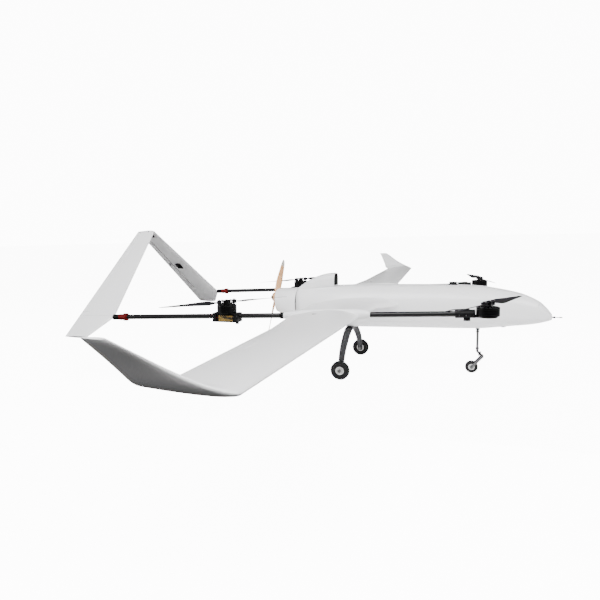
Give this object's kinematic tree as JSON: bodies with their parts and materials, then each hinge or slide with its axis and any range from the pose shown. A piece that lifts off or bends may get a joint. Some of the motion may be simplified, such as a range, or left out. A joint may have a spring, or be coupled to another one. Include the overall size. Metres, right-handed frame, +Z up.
{
  "type": "fixed wing drone",
  "caption": "Twin-boom fixed wing drone with an inverted V tail, lift rotors on the booms, a wooden pusher propeller and tricycle wheels.",
  "frame": {"origin": "on the ground midway between the pitot tip and the tail, on the centreline", "axes": "+X towards the nose, +Y to port, +Z up"},
  "size_m": [2.003, 3.3012, 0.6557],
  "materials": {
    "white_shell": "gloss white paint over moulded glass fibre",
    "carbon_tube": "wrapped carbon fibre tube, semi-gloss",
    "carbon_plate": "carbon fibre plate, satin",
    "carbon_blade": "carbon fibre, polished",
    "black_anodised": "black anodised, satin",
    "red_anodised": "red anodised, satin",
    "motor_steel": "lacquered lamination stack",
    "black_plastic": "moulded, fine texture",
    "gold_foil": "gold plated heat spreader",
    "beech_wood": "oiled and varnished",
    "plywood": "raw birch plywood",
    "steel": "polished steel",
    "engine_alloy": "bead blasted casting",
    "tank_plastic": "translucent white",
    "battery_wrap": "heat-shrink film",
    "white_rim": "moulded white nylon",
    "tyre_rubber": "matt black"
  },
  "bodies": {
    "airframe": {"air_scoop": "white_shell", "battery_pack": "battery_wrap", "boom_collars": "red_anodised", "boom_fairings": "white_shell", "boom_left": "carbon_tube", "boom_right": "carbon_tube", "control_servos": "black_plastic", "engine": "engine_alloy", "engine_cowl": "white_shell", "firewall": "plywood", "flight_controller": "black_plastic", "front_motor_mounts": "carbon_plate", "fuel_tank": "tank_plastic", "fuselage_shell": "white_shell", "main_axles": "steel", "main_gear_bow": "carbon_plate", "motor_stators": "motor_steel", "payload_tray": "carbon_plate", "pitot_tube": "steel", "rear_motor_mounts": "carbon_plate", "speed_controllers": "gold_foil", "tail_panel_left": "white_shell", "tail_panel_right": "white_shell", "tail_peak_joint": "black_plastic", "tail_sockets": "black_anodised", "top_antenna": "black_plastic", "ventral_fins": "white_shell", "wing_centre": "white_shell", "wing_left": "white_shell", "wing_right": "white_shell", "wing_spars": "carbon_tube", "winglet_left": "white_shell", "winglet_right": "white_shell"},
    "hatch": {"nose_hatch": "white_shell"},
    "pusher": {"pusher_propeller": "beech_wood", "pusher_hub": "steel"},
    "rotor_front_left": {"rotor_front_left": "black_anodised"},
    "blade_front_left_a": {"blade_front_left_a": "carbon_blade"},
    "blade_front_left_b": {"blade_front_left_b": "carbon_blade"},
    "rotor_front_right": {"rotor_front_right": "black_anodised"},
    "blade_front_right_a": {"blade_front_right_a": "carbon_blade"},
    "blade_front_right_b": {"blade_front_right_b": "carbon_blade"},
    "rotor_rear_left": {"rotor_rear_left": "black_anodised"},
    "blade_rear_left_a": {"blade_rear_left_a": "carbon_blade"},
    "blade_rear_left_b": {"blade_rear_left_b": "carbon_blade"},
    "rotor_rear_right": {"rotor_rear_right": "black_anodised"},
    "blade_rear_right_a": {"blade_rear_right_a": "carbon_blade"},
    "blade_rear_right_b": {"blade_rear_right_b": "carbon_blade"},
    "aileron_left": {"aileron_left": "white_shell"},
    "ruddervator_left": {"ruddervator_left": "white_shell"},
    "aileron_right": {"aileron_right": "white_shell"},
    "ruddervator_right": {"ruddervator_right": "white_shell"},
    "wheel_left": {"main_wheel_left": "white_rim", "main_tyre_left": "tyre_rubber"},
    "wheel_right": {"main_wheel_right": "white_rim", "main_tyre_right": "tyre_rubber"},
    "nose_leg": {"nose_strut": "steel"},
    "nose_arm": {"nose_link": "steel"},
    "nose_roller": {"nose_wheel": "white_rim", "nose_tyre": "tyre_rubber"}
  },
  "joints": [
    {"name": "hatch_lift", "type": "slide", "parent": "airframe", "child": "hatch", "axis": [0, 0, 1], "range_m": [0, 0.15]},
    {"name": "pusher_spin", "type": "hinge", "parent": "airframe", "child": "pusher", "pos_m": [-0.2535, 0, 0.321], "axis": [1, 0, 0], "continuous": true},
    {"name": "rotor_front_left_spin", "type": "hinge", "parent": "airframe", "child": "rotor_front_left", "pos_m": [0.6895, 0.495, 0.373], "axis": [0, 0, 1], "continuous": true},
    {"name": "blade_front_left_a_fold", "type": "hinge", "parent": "rotor_front_left", "child": "blade_front_left_a", "pos_m": [0.68253, 0.52521, 0.373], "axis": [0, 0, 1], "range_deg": [-90, 90]},
    {"name": "blade_front_left_b_fold", "type": "hinge", "parent": "rotor_front_left", "child": "blade_front_left_b", "pos_m": [0.69647, 0.4648, 0.373], "axis": [0, 0, 1], "range_deg": [-90, 90]},
    {"name": "rotor_front_right_spin", "type": "hinge", "parent": "airframe", "child": "rotor_front_right", "pos_m": [0.6895, -0.495, 0.373], "axis": [0, 0, 1], "continuous": true},
    {"name": "blade_front_right_a_fold", "type": "hinge", "parent": "rotor_front_right", "child": "blade_front_right_a", "pos_m": [0.70429, -0.46776, 0.373], "axis": [0, 0, 1], "range_deg": [-90, 90]},
    {"name": "blade_front_right_b_fold", "type": "hinge", "parent": "rotor_front_right", "child": "blade_front_right_b", "pos_m": [0.67471, -0.52224, 0.373], "axis": [0, 0, 1], "range_deg": [-90, 90]},
    {"name": "rotor_rear_left_spin", "type": "hinge", "parent": "airframe", "child": "rotor_rear_left", "pos_m": [-0.2795, 0.495, 0.3625], "axis": [0, 0, 1], "continuous": true},
    {"name": "blade_rear_left_a_fold", "type": "hinge", "parent": "rotor_rear_left", "child": "blade_rear_left_a", "pos_m": [-0.25957, 0.51875, 0.3625], "axis": [0, 0, 1], "range_deg": [-90, 90]},
    {"name": "blade_rear_left_b_fold", "type": "hinge", "parent": "rotor_rear_left", "child": "blade_rear_left_b", "pos_m": [-0.29943, 0.47125, 0.3625], "axis": [0, 0, 1], "range_deg": [-90, 90]},
    {"name": "rotor_rear_right_spin", "type": "hinge", "parent": "airframe", "child": "rotor_rear_right", "pos_m": [-0.2795, -0.495, 0.3625], "axis": [0, 0, 1], "continuous": true},
    {"name": "blade_rear_right_a_fold", "type": "hinge", "parent": "rotor_rear_right", "child": "blade_rear_right_a", "pos_m": [-0.25797, -0.4727, 0.3625], "axis": [0, 0, 1], "range_deg": [-90, 90]},
    {"name": "blade_rear_right_b_fold", "type": "hinge", "parent": "rotor_rear_right", "child": "blade_rear_right_b", "pos_m": [-0.30103, -0.5173, 0.3625], "axis": [0, 0, 1], "range_deg": [-90, 90]},
    {"name": "aileron_left_hinge", "type": "hinge", "parent": "airframe", "child": "aileron_left", "pos_m": [0.09926, 1.04228, 0.34378], "axis": [0.0372, 0.999, 0.0267], "range_deg": [-25, 25]},
    {"name": "ruddervator_left_hinge", "type": "hinge", "parent": "airframe", "child": "ruddervator_left", "pos_m": [-0.95888, 0.25732, 0.46463], "axis": [0.0585, 0.8077, -0.5867], "range_deg": [-25, 25]},
    {"name": "aileron_right_hinge", "type": "hinge", "parent": "airframe", "child": "aileron_right", "pos_m": [0.09926, -1.04228, 0.34378], "axis": [-0.0372, 0.999, -0.0267], "range_deg": [-25, 25]},
    {"name": "ruddervator_right_hinge", "type": "hinge", "parent": "airframe", "child": "ruddervator_right", "pos_m": [-0.95888, -0.25732, 0.46463], "axis": [-0.0585, 0.8077, 0.5867], "range_deg": [-25, 25]},
    {"name": "wheel_left_spin", "type": "hinge", "parent": "airframe", "child": "wheel_left", "pos_m": [0.1135, 0.236, 0.0408], "axis": [0, 1, 0], "continuous": true},
    {"name": "wheel_right_spin", "type": "hinge", "parent": "airframe", "child": "wheel_right", "pos_m": [0.1135, -0.236, 0.0408], "axis": [0, 1, 0], "continuous": true},
    {"name": "nose_steer", "type": "hinge", "parent": "airframe", "child": "nose_leg", "pos_m": [0.6715, 0, 0.098], "axis": [0, 0, 1], "range_deg": [-30, 30]},
    {"name": "nose_suspension", "type": "hinge", "parent": "nose_leg", "child": "nose_arm", "pos_m": [0.6915, 0, 0.076], "axis": [0, 1, 0], "range_deg": [0, 18], "stiffness_Nm_per_rad": 60, "springref_deg": -11.46},
    {"name": "nose_wheel_spin", "type": "hinge", "parent": "nose_arm", "child": "nose_roller", "pos_m": [0.6485, 0, 0.0272], "axis": [0, 1, 0], "continuous": true}
  ]
}
